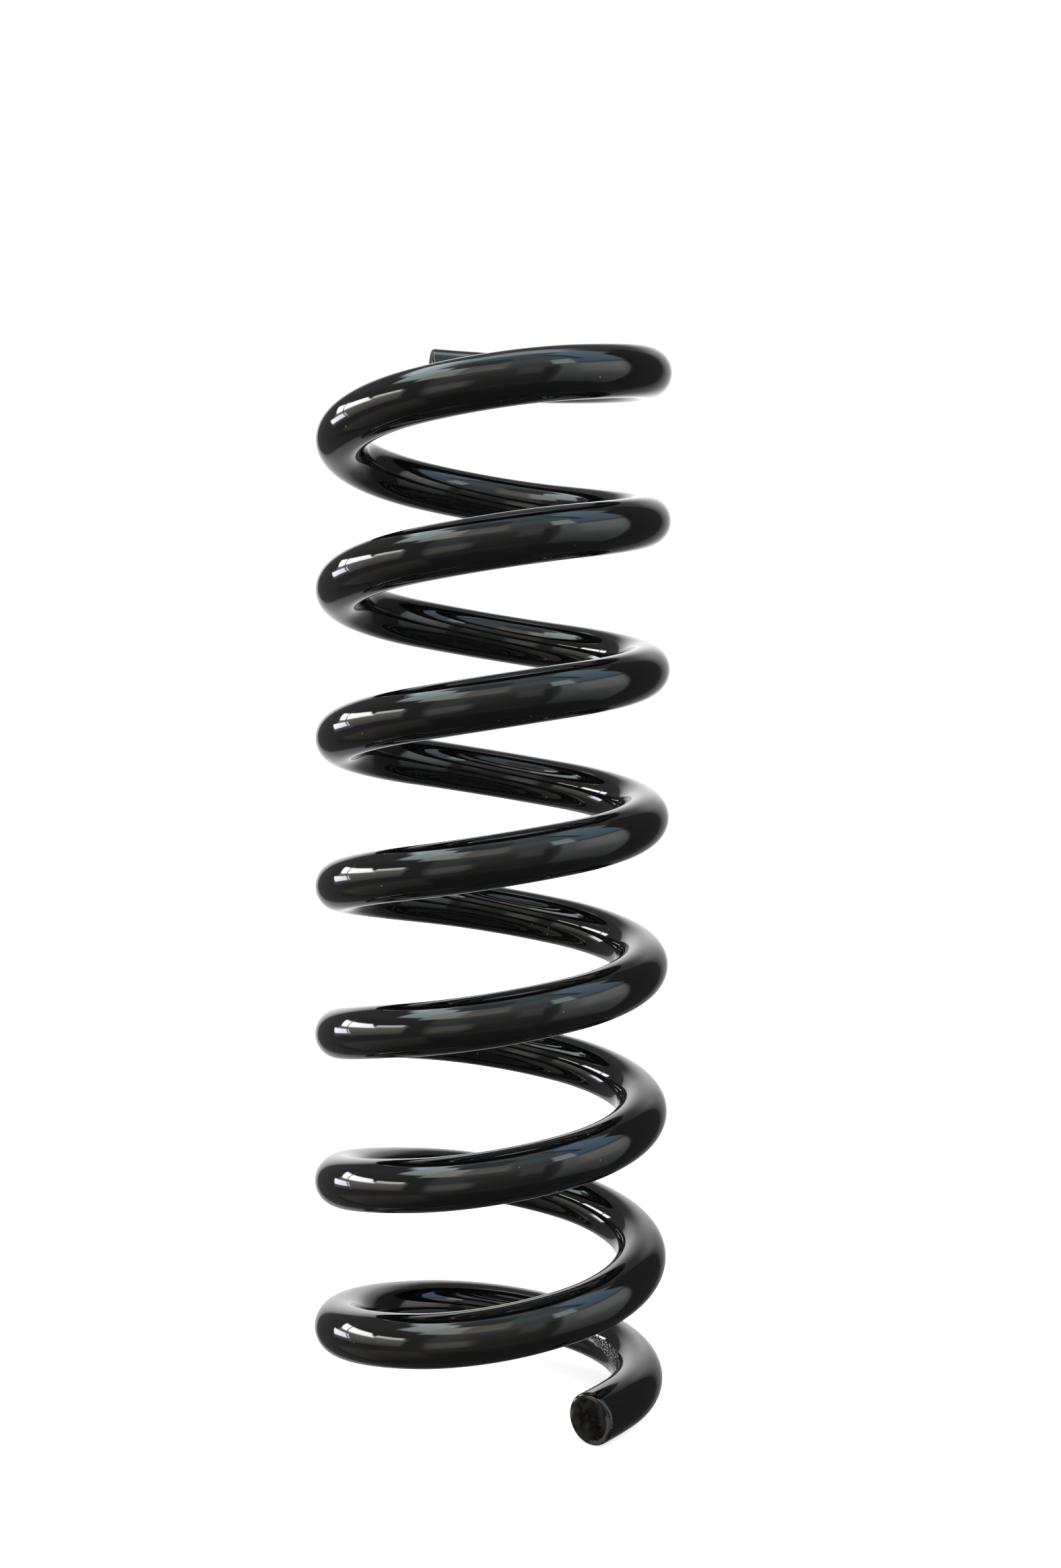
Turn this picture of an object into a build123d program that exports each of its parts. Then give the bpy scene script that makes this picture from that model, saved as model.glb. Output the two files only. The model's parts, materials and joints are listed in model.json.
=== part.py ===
from build123d import *

import os
from math import acos, asin, cos, degrees, pi, radians, sin, tan

# Suspension coil spring: one round steel bar wound into an open right-hand coil with plain cut ends.
#
# The bar is divided at true cross-sections into short stretches. Each stretch is a plain bend of the bar, lying
# in a plane of its own, and each is twisted a little about the bar against the stretch before it. Those twists
# give the coil its rise, and they are also how it works: pressing the spring shorter takes part of every twist
# out again. So each cut between two stretches is a torsion joint about the bar's own direction.
#
# Frame: millimetres, +Z up along the coil's axis, origin on that axis in the plane of the lower seat.

# ---- Driving dimensions, in millimetres and degrees ------------------------------------------------

wire_diameter = 16.0
coil_radius = 48.0  # from the coil's axis to the middle of the bar
lead_angle = 9.2  # slope of the bar at the middle of a stretch of the even coils
stretches_per_turn = 6
stretch_count = 45  # from one cut end of the bar to the other
middle_stretch = 22  # counted from 0 at the lower end
middle_azimuth = 210.0  # where the middle stretch lies around the coil's axis, from +X towards +Y

# The twists grow from nothing at each end, so that both end coils lie nearly flat on their seats.
lower_ease_turns = 1.0
upper_ease_turns = 0.75

# The first half turn is wound tighter towards its end.
tightened_turns = 0.5
tightened_share = 0.083

# The end stretches are shorter, and run out into a nearly straight tail that the coiler doesn't bend.
lower_end_length = 28.0
upper_end_length = 25.0
lower_tail_length = 16.0
upper_tail_length = 22.0
tail_bend_radius = 150.0
rim_radius = 1.2  # worn edge of the sheared end faces

# ---- Bend and twist of the even coils --------------------------------------------------------------

# A stretch with the one twist beside it turns the bar by exactly one share of a turn about the coil's axis.
half_share = pi / stretches_per_turn
even_twist = degrees(2 * asin(sin(radians(lead_angle)) * sin(half_share)))
even_bend = degrees(2 * acos(cos(half_share) / cos(radians(even_twist / 2))))
half_bend = radians(even_bend / 2)
even_bend_radius = coil_radius / (
    1 - cos(half_bend) + sin(half_bend) * cos(radians(lead_angle)) / tan(half_share)
)
pitch = 2 * stretches_per_turn * even_bend_radius * sin(half_bend) * sin(radians(lead_angle))


def shortfall(steps, ease_turns):
    """How much of the even twist is missing, steps stretches away from an end: 1 at the end, 0 past the ease."""
    return max(0.0, 1 - steps / (ease_turns * stretches_per_turn)) ** 2


def bend_radius(index):
    """Bend radius of a stretch: even, but tighter towards the lower end."""
    tightness = max(0.0, 1 - (index + 0.5) / (tightened_turns * stretches_per_turn))
    return even_bend_radius * (1 - tightened_share * tightness)


def arc_angle(length, radius):
    """The angle that an arc of this length and radius turns through."""
    return degrees(length / radius)


radii = [bend_radius(index) for index in range(stretch_count)]
bends = [even_bend] * stretch_count
bends[0] = arc_angle(lower_end_length, radii[0])
bends[-1] = arc_angle(upper_end_length, radii[-1])
lower_tail_bend = arc_angle(lower_tail_length, tail_bend_radius)
upper_tail_bend = arc_angle(upper_tail_length, tail_bend_radius)

# twists[i] lies between stretch i and stretch i + 1
twists = [
    even_twist
    * (
        1
        - shortfall(index + 1, lower_ease_turns)
        - shortfall(stretch_count - 1 - index, upper_ease_turns)
    )
    for index in range(stretch_count - 1)
]

# ---- The chain of frames along the bar -------------------------------------------------------------

# In a frame on the bar, Z runs along the bar towards the upper end and X points to the centre of the bend.


def bend_step(radius, angle):
    """The move along a bend of the bar."""
    return Pos(radius, 0, 0) * Rot(0, angle, 0) * Pos(-radius, 0, 0)


def twist_step(angle):
    """The turn about the bar's own direction."""
    return Rot(0, 0, angle)


def frames_from(middle):
    """The frame at the lower end of each stretch, worked out both ways from the middle of the middle stretch."""
    frames = [None] * stretch_count
    frames[middle_stretch] = middle * bend_step(radii[middle_stretch], -bends[middle_stretch] / 2)
    for index in range(middle_stretch, stretch_count - 1):
        upper_end = frames[index] * bend_step(radii[index], bends[index])
        frames[index + 1] = upper_end * twist_step(twists[index])
    for index in range(middle_stretch - 1, -1, -1):
        upper_end = frames[index + 1] * twist_step(-twists[index])
        frames[index] = upper_end * bend_step(radii[index], -bends[index])
    return frames


# The middle of the middle stretch lies on the even coil: its bend's centre is level, towards the axis, and
# the bar climbs there by the lead angle.
middle_frame = (
    Rot(0, 0, middle_azimuth)
    * Pos(coil_radius, 0, 0)
    * Rot(0, 0, 180)
    * Rot(90 - lead_angle, 0, 0)
)
level_frames = frames_from(middle_frame)
level_tip = level_frames[0] * bend_step(tail_bend_radius, -lower_tail_bend)

# The bar's lowest line is at the lower tip, where it runs level, so the tip sets the height of the coil.
lift = wire_diameter / 2 - level_tip.position.Z
stretch_frames = [Pos(0, 0, lift) * frame for frame in level_frames]
lower_tip = Pos(0, 0, lift) * level_tip
upper_tail = stretch_frames[-1] * bend_step(radii[-1], bends[-1])
upper_tip = upper_tail * bend_step(tail_bend_radius, upper_tail_bend)

# ---- Names -----------------------------------------------------------------------------------------


def stretch_name(index):
    """lower_end, then coil_01_a to coil_01_f, coil_02_a and so on up the coil, then upper_end."""
    if index == 0:
        return "lower_end"
    if index == stretch_count - 1:
        return "upper_end"
    coil, place = divmod(index - 1, stretches_per_turn)
    return f"coil_{coil + 1:02d}_{'abcdef'[place]}"


# ---- Solids ----------------------------------------------------------------------------------------


def bar_along(frame, radius, angle):
    """Adds the round bar along one bend, from a frame on the bar, to the part being built."""
    centre = frame * Pos(radius, 0, 0)
    with BuildSketch(Plane(frame)) as section:
        Circle(wire_diameter / 2)
    revolve(section.sketch, Axis(centre.position, Plane(frame).y_dir), angle)


def round_rim(part, tip):
    """Rounds the rim of the cut face at a tip of the bar."""
    cut_face = part.faces().filter_by(GeomType.PLANE).sort_by_distance(tip.position)[0]
    fillet(cut_face.edges(), radius=rim_radius)


def finish(part, name):
    """Labels a stretch and writes its file."""
    part.label = name
    export_step(part, f"parts/{name}.step")


os.makedirs("parts", exist_ok=True)

with BuildPart() as lower_end:
    bar_along(lower_tip, tail_bend_radius, lower_tail_bend)
    bar_along(stretch_frames[0], radii[0], bends[0])
    round_rim(lower_end, lower_tip)
finish(lower_end.part, stretch_name(0))

for index in range(1, stretch_count - 1):
    with BuildPart() as stretch:
        bar_along(stretch_frames[index], radii[index], bends[index])
    finish(stretch.part, stretch_name(index))

with BuildPart() as upper_end:
    bar_along(stretch_frames[-1], radii[-1], bends[-1])
    bar_along(upper_tail, tail_bend_radius, upper_tail_bend)
    round_rim(upper_end, upper_tip)
finish(upper_end.part, stretch_name(stretch_count - 1))

bar_length = (
    sum(radii[index] * radians(bends[index]) for index in range(stretch_count))
    + lower_tail_length
    + upper_tail_length
)
print(f"pitch of the even coils {pitch:.2f} mm, bend radius {even_bend_radius:.2f} mm")
print(f"even bend {even_bend:.2f} and twist {even_twist:.2f} degrees, bar length {bar_length:.1f} mm")
print(f"upper tip at {upper_tip.position}, free height about {upper_tip.position.Z + wire_diameter / 2:.1f} mm")
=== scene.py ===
import json
from math import asin, cos, pi, radians, sin

import bpy
import numpy as np
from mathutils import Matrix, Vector

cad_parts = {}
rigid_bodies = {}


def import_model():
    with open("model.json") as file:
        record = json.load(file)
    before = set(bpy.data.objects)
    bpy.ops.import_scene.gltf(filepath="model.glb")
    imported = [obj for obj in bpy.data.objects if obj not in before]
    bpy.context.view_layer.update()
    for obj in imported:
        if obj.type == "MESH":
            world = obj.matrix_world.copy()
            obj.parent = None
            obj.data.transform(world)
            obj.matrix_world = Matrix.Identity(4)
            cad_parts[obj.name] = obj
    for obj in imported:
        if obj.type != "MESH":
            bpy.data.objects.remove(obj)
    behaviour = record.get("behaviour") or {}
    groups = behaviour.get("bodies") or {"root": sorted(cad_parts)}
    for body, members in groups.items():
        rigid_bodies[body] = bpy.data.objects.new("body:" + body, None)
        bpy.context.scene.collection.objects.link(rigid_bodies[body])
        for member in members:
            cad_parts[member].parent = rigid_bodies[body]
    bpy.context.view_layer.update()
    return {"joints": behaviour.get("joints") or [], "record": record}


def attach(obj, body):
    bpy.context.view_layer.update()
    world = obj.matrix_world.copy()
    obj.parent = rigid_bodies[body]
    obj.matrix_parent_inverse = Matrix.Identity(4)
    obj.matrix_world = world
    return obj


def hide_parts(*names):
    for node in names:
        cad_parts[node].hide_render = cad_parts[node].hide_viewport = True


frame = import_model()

# A gloss black coil spring. The bar is one smooth surface: each stretch between two cuts is a bend of the bar
# with exact normals, so that no seam shows where two stretches meet, at rest or pressed short.

# ---- Sizes, in metres ------------------------------------------------------------------------------

BAR_RADIUS = 0.008
RIM_RADIUS = 0.0012
TAIL_RADIUS = 0.150
LOWER_TAIL = 0.016
UPPER_TAIL = 0.022
RIM_STEPS = 6  # rings over the rounded rim
FACE_STEPS = 14  # rings over a sheared end face
FACE_RELIEF = 0.00025  # height of the marks that the shear leaves in the end faces
SLOPE_STEP = 0.0001  # over which the slope of a sheared face is taken
LOWER_SHEAR_PHASE = 0.4  # where the waves of each sheared face start, so that the two differ
UPPER_SHEAR_PHASE = 2.1
RING_STEP = 0.0016  # between two rings of points along the bar
AROUND = 96  # points in a ring

# The rough mark where the bar was gripped: its middle and half its reach, round the bar in radians and along
# the straightened bar
GRIP_TURN = 0.35
GRIP_HALF_TURN = 0.30
GRIP_PLACE = 0.049
GRIP_HALF_LENGTH = 0.024

GRAIN_SPACING = 0.0008  # of the grit in the rough mark
DUST_SPACING = 0.0035
DUST_SIZE = 0.00022

WORN_REACH = (0.0009, 0.0003)  # from the tip: where the worn rim starts, and where it is wholly worn
FACE_WORN_REACH = (0.0060, 0.0067)  # the same on a sheared face, from its middle

# Heights of what stands out of the coat, for the bump
PEEL_HEIGHT = 0.7e-5
RIPPLE_HEIGHT = 0.6e-5
SWAY_HEIGHT = 0.5e-4
DRAWN_HEIGHT = 2.5e-6
GRIT_HEIGHT = -3.0e-4
DUST_HEIGHT = 5.0e-5

# Heights of what stands out of a sheared face, for the bump
TEAR_HEIGHT = 5.0e-5
BLOTCH_HEIGHT = 3.0e-5

# ---- Finish ----------------------------------------------------------------------------------------

COAT_INDEX = 1.8  # refractive index
COAT_DARK = (0.0014, 0.0015, 0.0017, 1)
COAT_SMEARED = (0.0024, 0.0023, 0.0020, 1)
GRIP_COLOUR = (0.004, 0.0037, 0.0034, 1)
# painted highlight: the pale colour of specks that stand for the sparkle of light on the grit of the rough
# mark
PAINTED_GLINT_COLOUR = (0.62, 0.58, 0.50, 1)
WORN_COLOUR = (0.022, 0.018, 0.016, 1)
DUST_COLOUR = (0.22, 0.21, 0.20, 1)
COAT_ROUGHNESS = 0.02
SMEARED_ROUGHNESS = 0.055
GRIP_ROUGHNESS = 0.18
WORN_ROUGHNESS = 0.5
DUST_ROUGHNESS = 0.7

FACE_INDEX = 1.5
FACE_SPECULAR = 0.12
FACE_DARK = (0.0008, 0.0006, 0.0009, 1)
FACE_BLOTCH = (0.0130, 0.0118, 0.0085, 1)
FACE_FLECK = (0.0160, 0.0125, 0.0100, 1)
FACE_EDGE = (0.045, 0.038, 0.034, 1)
FACE_ROUGHNESS = 0.36
BLOTCH_ROUGHNESS = 0.55

# ---- Floor and camera ------------------------------------------------------------------------------

FLOOR_HALF = 6.0  # half the floor's side
FLOOR_ALBEDO = (0.9, 0.9, 0.9, 1)
FLOOR_ROUGHNESS = 0.9
FLOOR_LIGHT = 1.6  # strength of the even light that falls on it
FLOOR_GLOW = 0.62  # strength of its own glow, which leaves only a faint shadow

CAMERA_PLACE = (-0.0036, -0.5969, 0.2179)
CAMERA_TURN = (88.147, -0.271, -1.493)  # degrees
CAMERA_LENS = 43.15  # millimetres, as is the sensor's width
SENSOR_WIDTH = 36

joints = {joint["child"]: joint for joint in frame["joints"]}
mounts = {mount["name"]: mount for mount in frame["record"]["mounts"]}


# ---- The line of the bar, read from the joints -----------------------------------------------------

class Bend:
    """A plain bend of the bar: from start, in direction along, turning towards inward."""

    def __init__(self, start, along, inward, radius, angle):
        self.start = start
        self.along = along
        self.inward = inward
        self.radius = radius
        self.angle = angle

    def length(self):
        return self.radius * self.angle

    def at(self, share):
        """The point, direction and inward direction at a share of the bend."""
        turn = self.angle * share
        along = self.along * cos(turn) + self.inward * sin(turn)
        inward = self.inward * cos(turn) - self.along * sin(turn)
        centre = self.start + self.inward * self.radius
        return centre - inward * self.radius, along, inward


def bend_between(start, along, end, end_along):
    """The bend that joins two points of the bar with the bar's direction at each."""
    across = along.cross(end_along).normalized()
    inward = across.cross(along)
    angle = along.angle(end_along)
    radius = (end - start).length / (2 * sin(angle / 2))
    return Bend(start, along, inward, radius, angle)


def cut_of(child):
    """Where a stretch's joint cuts the bar, and the bar's direction there. The joint turns against it."""
    joint = joints[child]
    return Vector(joint["pos_m"]), -Vector(joint["axis"]).normalized()


def tail_at_tip(tip, along, beyond, length):
    """The nearly straight tail that starts at a tip of the bar and bends towards the direction beyond it."""
    across = along.cross(beyond).normalized()
    return Bend(tip, along, across.cross(along), TAIL_RADIUS, length / TAIL_RADIUS)


def stretches():
    """The bends of each stretch, from the lower end of the bar to the upper."""
    order = ["lower_end"]
    child_of = {joint["parent"]: joint["child"] for joint in frame["joints"]}
    while order[-1] in child_of:
        order.append(child_of[order[-1]])
    found = {}
    for name, after in zip(order[1:-1], order[2:]):
        found[name] = [bend_between(*cut_of(name), *cut_of(after))]

    tip = Vector(mounts["lower_end_stop"]["pos_m"])
    along = -Vector(mounts["lower_end_stop"]["axis"]).normalized()
    cut, beyond = cut_of(order[1])
    tail = tail_at_tip(tip, along, beyond, LOWER_TAIL)
    tail_end, tail_along, _ = tail.at(1)
    lower = [tail, bend_between(tail_end, tail_along, cut, beyond)]

    tip = Vector(mounts["upper_end_stop"]["pos_m"])
    along = -Vector(mounts["upper_end_stop"]["axis"]).normalized()
    cut, before = cut_of(order[-1])
    tail = tail_at_tip(tip, along, -before, UPPER_TAIL)
    tail_start, tail_back, tail_inward = tail.at(1)
    upper = [
        bend_between(cut, before, tail_start, -tail_back),
        Bend(tail_start, -tail_back, tail_inward, TAIL_RADIUS, tail.angle),
    ]
    return {order[0]: lower, **found, order[-1]: upper}


# ---- Meshes ----------------------------------------------------------------------------------------

class Skin:
    """The points, faces and exact normals of one stretch, and each point's place on the straightened bar."""

    def __init__(self):
        self.points = []
        self.bar_points = []
        self.faces = []
        self.face_normals = []
        self.face_materials = []

    def ring(self, centre, along, inward, radius, distance, roll, rise=None):
        """Adds a ring of points, each raised along the bar by rise, and returns their numbers."""
        across = along.cross(inward)
        first = len(self.points)
        for step in range(AROUND):
            angle = 2 * pi * step / AROUND
            seat = angle + roll
            raised = rise[step] if rise else 0.0
            outward = inward * cos(angle) + across * sin(angle)
            self.points.append(centre + outward * radius + along * raised)
            self.bar_points.append((radius * cos(seat), radius * sin(seat), distance + raised))
        return range(first, first + AROUND)

    def band(self, low, low_normals, high, high_normals, material=0):
        """Joins two rings by a band of faces."""
        for step in range(AROUND):
            after = (step + 1) % AROUND
            self.faces.append((low[step], low[after], high[after], high[step]))
            self.face_normals += [low_normals[step], low_normals[after]]
            self.face_normals += [high_normals[after], high_normals[step]]
            self.face_materials.append(material)

    def disc(self, ring, normal, backwards, material=0):
        """Closes a ring with one flat face."""
        self.faces.append(tuple(reversed(ring)) if backwards else tuple(ring))
        self.face_normals += [normal] * AROUND
        self.face_materials.append(material)

    def object(self, name, materials):
        mesh = bpy.data.meshes.new(name)
        mesh.from_pydata([tuple(p) for p in self.points], [], self.faces)
        for material in materials:
            mesh.materials.append(material)
        mesh.polygons.foreach_set("material_index", self.face_materials)
        mesh.polygons.foreach_set("use_smooth", [True] * len(self.faces))
        place = mesh.attributes.new("bar_point", "FLOAT_VECTOR", "POINT")
        place.data.foreach_set("vector", np.array(self.bar_points, np.float32).ravel())
        mesh.normals_split_custom_set([tuple(n) for n in self.face_normals])
        mesh.validate()
        piece = bpy.data.objects.new(name, mesh)
        bpy.context.scene.collection.objects.link(piece)
        return piece


def outwards(along, inward):
    """The outward directions of a ring's points."""
    across = along.cross(inward)
    turns = [2 * pi * step / AROUND for step in range(AROUND)]
    return [inward * cos(turn) + across * sin(turn) for turn in turns]


def shear_mark(x, y, reach, phase):
    """Height of a sheared face at a place on it, in metres: long low waves, and a fallen-away far side."""
    u, v = x / reach, y / reach
    waves = sin(2.1 * u + 1.3 * v + phase) + 0.4 * sin(3.9 * v - 1.2 * u + 2 * phase)
    flat_at_rim = 1 - min(1.0, u * u + v * v) ** 3
    return -FACE_RELIEF * flat_at_rim * (1.3 + 0.5 * waves + 0.7 * u)


def close_tip(skin, tip, along, inward, distance, roll, end, phase):
    """
    Adds the rounded rim and the sheared face at a tip. There along is the bar's direction and inward points
    to the centre of its bend. end is -1 at the lower tip and 1 at the upper. Returns the ring where the rim
    starts, and its normals.
    """
    directions = outwards(along, inward)
    facing = along * end
    rim = []
    for step in range(RIM_STEPS + 1):
        turn = pi / 2 * step / RIM_STEPS
        radius = BAR_RADIUS - RIM_RADIUS * (1 - cos(turn))
        back = -end * RIM_RADIUS * (1 - sin(turn))
        ring = skin.ring(tip + along * back, along, inward, radius, distance + back, roll)
        rim.append((ring, [d * cos(turn) + facing * sin(turn) for d in directions]))
    across = along.cross(inward)
    face_radius = BAR_RADIUS - RIM_RADIUS
    face = []
    for step in range(1, FACE_STEPS):
        radius = face_radius * (1 - step / FACE_STEPS)
        rise = []
        normals = []
        for number in range(AROUND):
            turn = 2 * pi * number / AROUND
            x, y = radius * cos(turn), radius * sin(turn)
            here = shear_mark(x, y, face_radius, phase)
            slope_x = (shear_mark(x + SLOPE_STEP, y, face_radius, phase) - here) / SLOPE_STEP
            slope_y = (shear_mark(x, y + SLOPE_STEP, face_radius, phase) - here) / SLOPE_STEP
            normals.append((facing - inward * slope_x - across * slope_y).normalized())
            rise.append(here * end)
        face.append((skin.ring(tip, along, inward, radius, distance, roll, rise), normals))
    run = rim + face
    for number, ((near, near_normals), (far, far_normals)) in enumerate(zip(run, run[1:])):
        material = 0 if number < RIM_STEPS - 1 else 1
        if end > 0:
            skin.band(near, near_normals, far, far_normals, material)
        else:
            skin.band(far, far_normals, near, near_normals, material)
    skin.disc(face[-1][0], facing, end < 0, material=1)
    return rim[0]


def build(name, bends, distance, roll, materials, lower_tip=False, upper_tip=False):
    """One stretch of the bar as a closed skin."""
    skin = Skin()
    rings = []
    for number, bend in enumerate(bends):
        trim_low = RIM_RADIUS / bend.length() if lower_tip and number == 0 else 0.0
        trim_high = RIM_RADIUS / bend.length() if upper_tip and number == len(bends) - 1 else 0.0
        count = max(2, round(bend.length() / RING_STEP))
        for step in range(0 if number == 0 else 1, count + 1):
            share = trim_low + (1 - trim_low - trim_high) * step / count
            centre, along, inward = bend.at(share)
            ring = skin.ring(centre, along, inward, BAR_RADIUS, distance + bend.length() * share, roll)
            rings.append((ring, outwards(along, inward)))
        distance += bend.length()
    if lower_tip:
        tip, along, inward = bends[0].at(0)
        start = distance - sum(bend.length() for bend in bends)
        rings.insert(0, close_tip(skin, tip, along, inward, start, roll, -1, LOWER_SHEAR_PHASE))
    else:
        _, along, _ = bends[0].at(0)
        skin.disc(rings[0][0], -along, True)
    if upper_tip:
        tip, along, inward = bends[-1].at(1)
        rings.append(close_tip(skin, tip, along, inward, distance, roll, 1, UPPER_SHEAR_PHASE))
    else:
        _, along, _ = bends[-1].at(1)
        skin.disc(rings[-1][0], along, False)
    for low, high in zip(rings, rings[1:]):
        skin.band(*low, *high)
    return skin.object(name, materials)


# ---- Materials -------------------------------------------------------------------------------------

class Nodes:
    """Adds nodes to a node tree, with the values or links of their inputs."""

    def __init__(self, tree):
        self.tree = tree

    def add(self, kind, inputs=(), **settings):
        node = self.tree.nodes.new(kind)
        for name, value in settings.items():
            setattr(node, name, value)
        for key, value in dict(inputs).items():
            if isinstance(value, bpy.types.NodeSocket):
                self.tree.links.new(value, node.inputs[key])
            else:
                node.inputs[key].default_value = value
        return node

    def math(self, operation, *values):
        return self.add("ShaderNodeMath", dict(enumerate(values)), operation=operation).outputs[0]

    def ramp(self, value, low, high):
        """0 below low and 1 above high, smooth between. Low may be above high."""
        inputs = {"Value": value, "From Min": low, "From Max": high}
        return self.add("ShaderNodeMapRange", inputs, interpolation_type="SMOOTHSTEP").outputs[0]

    def between(self, value, low, high, soft):
        return self.math("MULTIPLY", self.ramp(value, low - soft, low + soft),
                         self.ramp(value, high + soft, high - soft))

    def mix(self, factor, a, b):
        return self.blend(factor, a, b, "RGBA", (6, 7), 2)

    def fade(self, factor, a, b):
        return self.blend(factor, a, b, "FLOAT", (2, 3), 0)

    def blend(self, factor, a, b, data_type, places, result):
        node = self.add("ShaderNodeMix", data_type=data_type)
        for place, value in zip((0, *places), (factor, a, b)):
            if isinstance(value, bpy.types.NodeSocket):
                self.tree.links.new(value, node.inputs[place])
            else:
                node.inputs[place].default_value = value
        return node.outputs[result]

    def noise(self, place, across, along, detail=2.0, seed=0.0):
        """Noise with features of about these sizes, in metres, across and along the bar."""
        scale = (1 / across, 1 / across, 1 / along)
        offset = (seed, seed * 1.7, seed * 0.6)
        mapping = {"Vector": place, "Location": offset, "Scale": scale}
        moved = self.add("ShaderNodeMapping", mapping).outputs[0]
        return self.add("ShaderNodeTexNoise", {"Vector": moved, "Scale": 1.0, "Detail": detail}).outputs[0]

    def sum_of(self, *terms):
        """The sum of values, each times its weight."""
        total = 0.0
        for value, weight in terms:
            total = self.math("MULTIPLY_ADD", value, weight, total)
        return total


def principled(name):
    material = bpy.data.materials.new(name)
    material.use_nodes = True
    return material, Nodes(material.node_tree), material.node_tree.nodes["Principled BSDF"]


def powder_coat(bar_length):
    """Gloss black powder coat: orange peel, the drawn wire's marks, a rough mark with painted highlight
    specks on its grit, worn rims and dust.
    """
    material, nodes, shader = principled("powder_coat")
    shader.inputs["IOR"].default_value = COAT_INDEX
    place = nodes.add("ShaderNodeAttribute", attribute_name="bar_point").outputs["Vector"]
    x, y, z = nodes.add("ShaderNodeSeparateXYZ", {0: place}).outputs[:3]

    # where the bar was gripped while it was wound: a rough mark on the inside of the first coil
    turn = nodes.math("ARCTAN2", y, x)
    ragged = nodes.noise(place, across=0.003, along=0.006, detail=3.0, seed=4.0)
    ragged = nodes.math("MULTIPLY_ADD", ragged, 0.9, -0.45)
    off_turn = nodes.math("ABSOLUTE", nodes.math("SUBTRACT", turn, GRIP_TURN))
    off_place = nodes.math("ABSOLUTE", nodes.math("SUBTRACT", z, GRIP_PLACE))
    reach = nodes.sum_of((off_turn, 1 / GRIP_HALF_TURN), (off_place, 1 / GRIP_HALF_LENGTH), (ragged, 1.0))
    grip = nodes.ramp(reach, 1.25, 0.85)

    grains = nodes.add("ShaderNodeTexVoronoi", {"Vector": place, "Scale": 1 / GRAIN_SPACING})
    grain = nodes.ramp(grains.outputs["Distance"], 0.34, 0.20)
    grain_chance = nodes.add("ShaderNodeSeparateXYZ", {0: grains.outputs["Color"]}).outputs[1]
    # painted highlight: pale specks in some grains of the rough mark stand in for light sparkling on the grit
    painted_glint = nodes.math("MULTIPLY", grain, nodes.ramp(grain_chance, 0.62, 0.72))
    painted_glint = nodes.math("MULTIPLY", painted_glint, grip)

    # the rims of the end faces are worn
    from_lower = nodes.math("ABSOLUTE", z)
    from_upper = nodes.math("ABSOLUTE", nodes.math("SUBTRACT", z, bar_length))
    from_end = nodes.math("MINIMUM", from_lower, from_upper)
    chips = nodes.noise(place, across=0.0009, along=0.0009, detail=3.0, seed=7.0)
    chips = nodes.math("MULTIPLY_ADD", chips, 0.0022, -0.0011)
    one_side = nodes.ramp(nodes.noise(place, across=0.009, along=0.02, detail=1.0, seed=8.0), 0.46, 0.56)
    worn = nodes.math("MULTIPLY", nodes.ramp(nodes.math("ADD", from_end, chips), *WORN_REACH), one_side)

    # dust: a pale speck in some cells
    cells = nodes.add("ShaderNodeTexVoronoi", {"Vector": place, "Scale": 1 / DUST_SPACING})
    speck = nodes.ramp(cells.outputs["Distance"], DUST_SIZE / DUST_SPACING, 0.4 * DUST_SIZE / DUST_SPACING)
    chance = nodes.add("ShaderNodeSeparateXYZ", {0: cells.outputs["Color"]}).outputs[0]
    dust = nodes.math("MULTIPLY", speck, nodes.ramp(chance, 0.80, 0.86))

    smears = nodes.ramp(nodes.noise(place, across=0.012, along=0.05, detail=3.0, seed=11.0), 0.45, 0.75)
    colour = nodes.mix(smears, COAT_DARK, COAT_SMEARED)
    colour = nodes.mix(grip, colour, GRIP_COLOUR)
    colour = nodes.mix(painted_glint, colour, PAINTED_GLINT_COLOUR)
    colour = nodes.mix(worn, colour, WORN_COLOUR)
    colour = nodes.mix(dust, colour, DUST_COLOUR)
    nodes.tree.links.new(colour, shader.inputs["Base Color"])

    rough = nodes.fade(smears, COAT_ROUGHNESS, SMEARED_ROUGHNESS)
    rough = nodes.fade(grip, rough, GRIP_ROUGHNESS)
    rough = nodes.fade(worn, rough, WORN_ROUGHNESS)
    rough = nodes.fade(dust, rough, DUST_ROUGHNESS)
    nodes.tree.links.new(rough, shader.inputs["Roughness"])

    peel = nodes.noise(place, across=0.0028, along=0.0034, detail=1.0, seed=1.0)
    ripple = nodes.noise(place, across=0.004, along=0.009, detail=1.0, seed=6.0)
    sway = nodes.noise(place, across=0.010, along=0.022, detail=1.0, seed=2.0)
    drawn = nodes.noise(place, across=0.0007, along=0.070, detail=2.0, seed=3.0)
    grit = nodes.math("MULTIPLY", grains.outputs["Distance"], grip)
    height = nodes.sum_of(
        (peel, PEEL_HEIGHT),
        (ripple, RIPPLE_HEIGHT),
        (sway, SWAY_HEIGHT),
        (drawn, DRAWN_HEIGHT),
        (grit, GRIT_HEIGHT),
        (dust, DUST_HEIGHT),
    )
    bump = nodes.add("ShaderNodeBump", {"Strength": 1.0, "Distance": 1.0, "Height": height})
    nodes.tree.links.new(bump.outputs[0], shader.inputs["Normal"])
    return material


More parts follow.
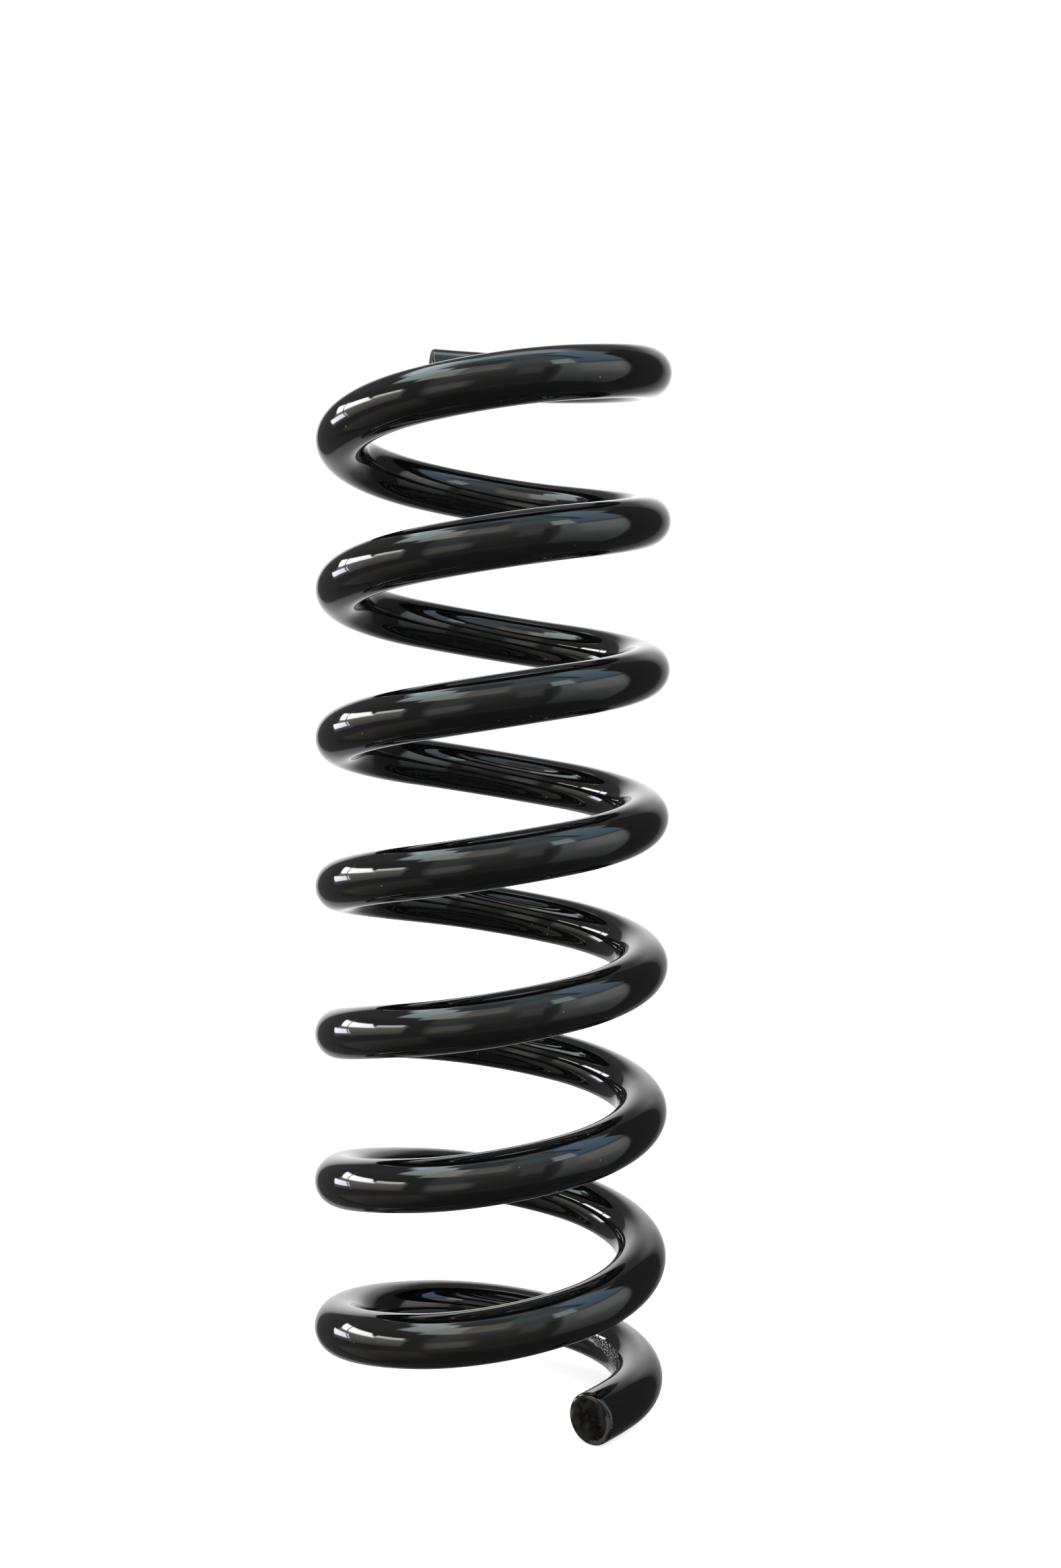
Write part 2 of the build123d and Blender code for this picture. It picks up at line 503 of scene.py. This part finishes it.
def sheared_steel():
    """The sheared end faces: coated thinly, so that the torn steel shows as a dull brown-black mottle."""
    material, nodes, shader = principled("sheared_end")
    shader.inputs["IOR"].default_value = FACE_INDEX
    shader.inputs["Specular IOR Level"].default_value = FACE_SPECULAR
    place = nodes.add("ShaderNodeAttribute", attribute_name="bar_point").outputs["Vector"]
    blotch = nodes.ramp(nodes.noise(place, across=0.0042, along=0.0042, detail=3.0, seed=3.0), 0.42, 0.66)
    fleck = nodes.ramp(nodes.noise(place, across=0.0008, along=0.0008, detail=3.0, seed=9.0), 0.55, 0.75)
    colour = nodes.mix(blotch, FACE_DARK, FACE_BLOTCH)
    colour = nodes.mix(fleck, colour, FACE_FLECK)
    x, y, _ = nodes.add("ShaderNodeSeparateXYZ", {0: place}).outputs[:3]
    squares = nodes.sum_of((nodes.math("MULTIPLY", x, x), 1.0), (nodes.math("MULTIPLY", y, y), 1.0))
    out = nodes.math("SQRT", squares)
    chips = nodes.noise(place, across=0.0012, along=0.0012, detail=3.0, seed=7.0)
    chips = nodes.math("MULTIPLY_ADD", chips, 0.0010, -0.0005)
    one_side = nodes.ramp(nodes.noise(place, across=0.009, along=0.02, detail=1.0, seed=8.0), 0.44, 0.54)
    edge = nodes.math("MULTIPLY", nodes.ramp(nodes.math("ADD", out, chips), *FACE_WORN_REACH), one_side)
    colour = nodes.mix(edge, colour, FACE_EDGE)
    nodes.tree.links.new(colour, shader.inputs["Base Color"])
    rough = nodes.fade(blotch, FACE_ROUGHNESS, BLOTCH_ROUGHNESS)
    nodes.tree.links.new(rough, shader.inputs["Roughness"])
    tear = nodes.noise(place, across=0.0011, along=0.0011, detail=4.0, seed=6.0)
    height = nodes.sum_of((tear, TEAR_HEIGHT), (blotch, BLOTCH_HEIGHT))
    bump = nodes.add("ShaderNodeBump", {"Strength": 1.0, "Distance": 1.0, "Height": height})
    nodes.tree.links.new(bump.outputs[0], shader.inputs["Normal"])
    return material


# ---- The pieces ------------------------------------------------------------------------------------

bar = stretches()
bar_length = sum(bend.length() for bends in bar.values() for bend in bends)
materials = [powder_coat(bar_length), sheared_steel()]

distance = 0.0
roll = 0.0
last_inward = None
names = list(bar)
for name, bends in bar.items():
    if last_inward is not None:
        # the twist at the cut, which the place on the straightened bar runs on through
        roll += asin(last_inward.cross(bends[0].inward).dot(bends[0].along))
    piece = build("bar_" + name, bends, distance, roll, materials, name == names[0], name == names[-1])
    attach(piece, name)
    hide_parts(name)
    distance += sum(bend.length() for bend in bends)
    last_inward = bends[-1].at(1)[2]

# ---- The studio ------------------------------------------------------------------------------------

# The light comes from panels round the coil, laid out like a room with a window on its left. Each is given
# by its azimuth and elevation in degrees as the coil sees it. Azimuth 0 is towards the front, where -Y
# points, and 90 is towards +X. A panel covers those before it. Each is: name, azimuths, elevations, radiance
# at its bottom and top, softness of its edges, colour, and how far it leans, in degrees of azimuth for each
# degree of elevation.

DIM_ELEVATIONS = (-60, 30)  # between the panels the light grows from dim below to dim above
DIM_BELOW = (0.05, 0.05, 0.05, 1)
DIM_ABOVE = (0.20, 0.20, 0.21, 1)

WHITE = (1.0, 1.0, 1.0)
BLUE = (0.62, 0.93, 1.24)
PALE_BLUE = (0.84, 1.02, 1.10)
CREAM = (1.06, 1.0, 0.84)
PALE_GREEN = (0.86, 1.05, 1.02)
PALE_CREAM = (1.0, 1.02, 0.93)
LILAC = (0.95, 0.93, 1.1)
GREEN_GREY = (0.95, 1.02, 1.0)

PANELS = [
    ("behind_right", (143, 182), (-40, 36), (0.10, 0.80), 8, WHITE, 0),
    ("behind_left", (178, 206), (-46, 32), (0.32, 0.72), 7, WHITE, 0),
    ("behind_glow", (160, 200), (-18, 26), (0.95, 1.7), 12, WHITE, 0),
    ("room", (-44, 36), (-36, 44), (0.12, 0.46), 7, WHITE, 0),
    ("room_dark", (-20, 34), (-28, 24), (0.09, 0.25), 6, WHITE, 0),
    ("table", (-42, -14), (-18, 4), (0.50, 0.70), 6, CREAM, 0),
    ("shelf", (14, 30), (2, 26), (0.32, 0.48), 3, CREAM, 0),
    ("gap", (31, 38), (-34, 22), (0.09, 0.15), 2, WHITE, 0),
    ("ceiling_front", (-2, 62), (42, 64), (0.55, 0.65), 5, PALE_BLUE, 0),
    ("ceiling", (-180, 180), (64, 91), (0.50, 0.70), 4, PALE_BLUE, 0),
    ("ceiling_behind", (100, 260), (70, 91), (1.8, 1.7), 4, PALE_BLUE, 0),
    ("skylight", (-150, -92), (54, 70), (3.6, 2.4), 3, PALE_BLUE, 0),
    ("skylight_mid", (-96, -52), (42, 64), (2.1, 3.0), 2.5, PALE_GREEN, -0.5),
    ("skylight_far", (-62, -28), (34, 57), (1.8, 2.1), 2.5, PALE_CREAM, 0),
    ("skylight_end", (-32, 4), (34, 58), (1.0, 0.8), 4, CREAM, 0),
    ("rafters", (-64, 4), (64, 75), (0.3, 0.3), 2.5, PALE_BLUE, 0),
    ("blue_sky", (56, 110), (33, 74), (0.75, 1.25), 2.5, BLUE, 0.12),
    ("rafter", (54, 62), (46, 80), (0.3, 0.3), 2, BLUE, -0.3),
    ("lamp", (37, 54), (31, 48), (2.0, 1.9), 2, PALE_GREEN, 0),
    ("grey_wall", (42, 95), (-34, 30), (0.18, 0.90), 2.5, GREEN_GREY, 0),
    ("lit_wall", (56, 90), (0, 27), (0.80, 1.25), 7, WHITE, 0),
    ("window_frame", (-130, -46), (-26, 34), (0.12, 0.17), 3, WHITE, 0),
    ("window_shade", (-121, -59), (-11, 15), (0.32, 1.15), 2.5, CREAM, 0),
    ("window", (-124, -88), (10.5, 21), (8.5, 10.0), 1.5, WHITE, -0.8),
    ("window_right", (-85, -62), (11.5, 18), (3.0, 6.0), 1.5, PALE_CREAM, 0),
    ("window_low", (-123, -105), (-5, 5), (6.0, 7.0), 1, LILAC, -0.5),
    ("mullion", (-111, -109.5), (-12, 26), (0.6, 0.6), 0.8, WHITE, -0.5),
    ("low_wall", (-120, -44), (-58, -28), (0.08, 0.25), 5, CREAM, 0),
    ("left_post", (-154, -129), (-91, 52), (0.06, 0.17), 2, WHITE, 0),
    ("right_post", (97, 137), (-91, 54), (0.04, 0.09), 2, WHITE, 0),
]


def lay_panel(nodes, under, azimuth, elevation, panel):
    """The colour under a panel, covered by the panel."""
    _, (left, right), (bottom, top), (low, high), soft, colour, lean = panel
    if lean:
        shift = nodes.math("MULTIPLY_ADD", elevation, -lean, lean * (bottom + top) / 2)
        azimuth = nodes.math("ADD", azimuth, shift)
    mask = nodes.math("MULTIPLY", nodes.between(azimuth, left, right, soft),
                      nodes.between(elevation, bottom, top, soft))
    heights = {"Value": elevation, "From Min": bottom, "From Max": top}
    climb = nodes.add("ShaderNodeMapRange", heights).outputs[0]
    shade = nodes.mix(climb, [low * part for part in colour] + [1], [high * part for part in colour] + [1])
    return nodes.mix(mask, under, shade)


def light_studio():
    world = bpy.data.worlds.new("studio")
    bpy.context.scene.world = world
    world.use_nodes = True
    nodes = Nodes(world.node_tree)
    direction = nodes.add("ShaderNodeTexCoord").outputs["Generated"]
    x, y, z = nodes.add("ShaderNodeSeparateXYZ", {0: direction}).outputs[:3]
    degrees = 180 / pi
    towards_front = nodes.math("MULTIPLY", y, -1.0)
    azimuth = nodes.math("MULTIPLY", nodes.math("ARCTAN2", x, towards_front), degrees)
    elevation = nodes.math("MULTIPLY", nodes.math("ARCSINE", z), degrees)
    # the same azimuth counted from 0 to 360, for the panels behind the coil
    full_turn = nodes.math("MULTIPLY", nodes.math("LESS_THAN", azimuth, 0.0), 360.0)
    round_behind = nodes.math("ADD", azimuth, full_turn)

    light = nodes.mix(nodes.ramp(elevation, *DIM_ELEVATIONS), DIM_BELOW, DIM_ABOVE)
    for panel in PANELS:
        behind = panel[1][1] > 180
        light = lay_panel(nodes, light, round_behind if behind else azimuth, elevation, panel)

    # the camera sees plain white round the coil, and the floor is lit evenly
    rays = nodes.add("ShaderNodeLightPath").outputs
    plain = (1, 1, 1, 1)
    panels_light = nodes.add("ShaderNodeBackground", {"Color": light}).outputs[0]
    even_light = nodes.add("ShaderNodeBackground", {"Color": plain, "Strength": FLOOR_LIGHT}).outputs[0]
    white = nodes.add("ShaderNodeBackground", {"Color": plain, "Strength": 1.0}).outputs[0]
    on_surfaces = {0: rays["Is Diffuse Ray"], 1: panels_light, 2: even_light}
    lit = nodes.add("ShaderNodeMixShader", on_surfaces).outputs[0]
    in_view = {0: rays["Is Camera Ray"], 1: lit, 2: white}
    seen = nodes.add("ShaderNodeMixShader", in_view).outputs[0]
    world.node_tree.links.new(seen, world.node_tree.nodes["World Output"].inputs["Surface"])
    world.cycles.sampling_method = "NONE"


def lay_floor():
    mesh = bpy.data.meshes.new("floor")
    corners = [(-1, -1), (1, -1), (1, 1), (-1, 1)]
    mesh.from_pydata([(x * FLOOR_HALF, y * FLOOR_HALF, 0) for x, y in corners], [], [(0, 1, 2, 3)])
    floor = bpy.data.objects.new("floor", mesh)
    bpy.context.scene.collection.objects.link(floor)
    floor.visible_glossy = False
    pale, _, shader = principled("pale_floor")
    shader.inputs["Base Color"].default_value = FLOOR_ALBEDO
    shader.inputs["Roughness"].default_value = FLOOR_ROUGHNESS
    shader.inputs["Specular IOR Level"].default_value = 0.0
    shader.inputs["Emission Color"].default_value = (1, 1, 1, 1)
    shader.inputs["Emission Strength"].default_value = FLOOR_GLOW
    mesh.materials.append(pale)


def place_camera():
    data = bpy.data.cameras.new("camera")
    camera = bpy.data.objects.new("camera", data)
    bpy.context.scene.collection.objects.link(camera)
    bpy.context.scene.camera = camera
    data.sensor_width = SENSOR_WIDTH
    data.lens = CAMERA_LENS
    camera.location = CAMERA_PLACE
    camera.rotation_euler = [radians(turn) for turn in CAMERA_TURN]


light_studio()
lay_floor()
place_camera()
bpy.context.scene.view_settings.view_transform = "Standard"
